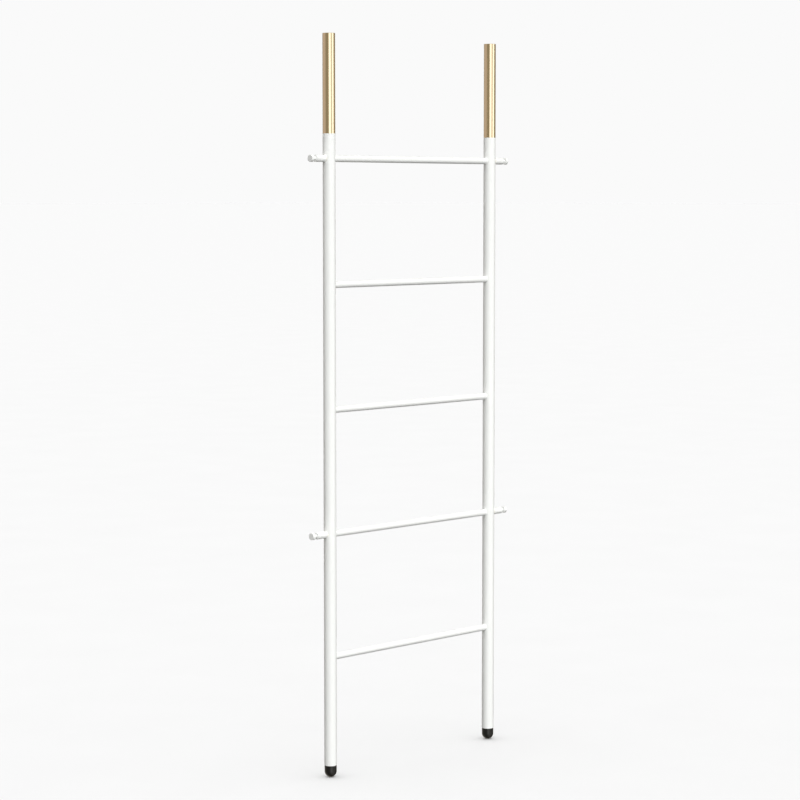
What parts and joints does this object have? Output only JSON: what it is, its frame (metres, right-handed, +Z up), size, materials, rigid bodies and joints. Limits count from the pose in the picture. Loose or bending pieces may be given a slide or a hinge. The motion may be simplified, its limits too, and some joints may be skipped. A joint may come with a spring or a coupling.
{
  "type": "towel ladder",
  "caption": "Leaning towel ladder: upright white round tubes with brass-coloured tips, black dome feet, straight round rungs and short grooved pegs on the outer sides.",
  "frame": {"origin": "on the floor, midway between the two rails", "axes": "+Z up along the rails, +X along the rungs to the right, +Y to the back, towards the wall the ladder leans on"},
  "size_m": [0.6998, 0.031, 1.82],
  "materials": {
    "white_coated_steel": "satin white powder coat on steel",
    "brass_plated_steel": "polished pale brass plate on steel",
    "black_rubber": "moulded matt black rubber",
    "white_nylon": "moulded white nylon",
    "zinc_plated_steel": "bright zinc plate on turned steel"
  },
  "bodies": {
    "root": {"left_foot": "black_rubber", "left_lower_peg": "white_coated_steel", "left_lower_peg_stud": "zinc_plated_steel", "left_lower_saddle_washer": "white_nylon", "left_rail": "white_coated_steel", "left_rail_plug": "zinc_plated_steel", "left_tip": "brass_plated_steel", "left_tip_cap": "brass_plated_steel", "left_tip_plug": "zinc_plated_steel", "left_tip_stud": "zinc_plated_steel", "left_upper_peg": "white_coated_steel", "left_upper_peg_stud": "zinc_plated_steel", "left_upper_saddle_washer": "white_nylon", "right_foot": "black_rubber", "right_lower_peg": "white_coated_steel", "right_lower_peg_stud": "zinc_plated_steel", "right_lower_saddle_washer": "white_nylon", "right_rail": "white_coated_steel", "right_rail_plug": "zinc_plated_steel", "right_tip": "brass_plated_steel", "right_tip_cap": "brass_plated_steel", "right_tip_plug": "zinc_plated_steel", "right_tip_stud": "zinc_plated_steel", "right_upper_peg": "white_coated_steel", "right_upper_peg_stud": "zinc_plated_steel", "right_upper_saddle_washer": "white_nylon", "rung_1": "white_coated_steel", "rung_2": "white_coated_steel", "rung_2_left_insert": "zinc_plated_steel", "rung_2_right_insert": "zinc_plated_steel", "rung_3": "white_coated_steel", "rung_4": "white_coated_steel", "rung_5": "white_coated_steel", "rung_5_left_insert": "zinc_plated_steel", "rung_5_right_insert": "zinc_plated_steel"}
  },
  "joints": []
}
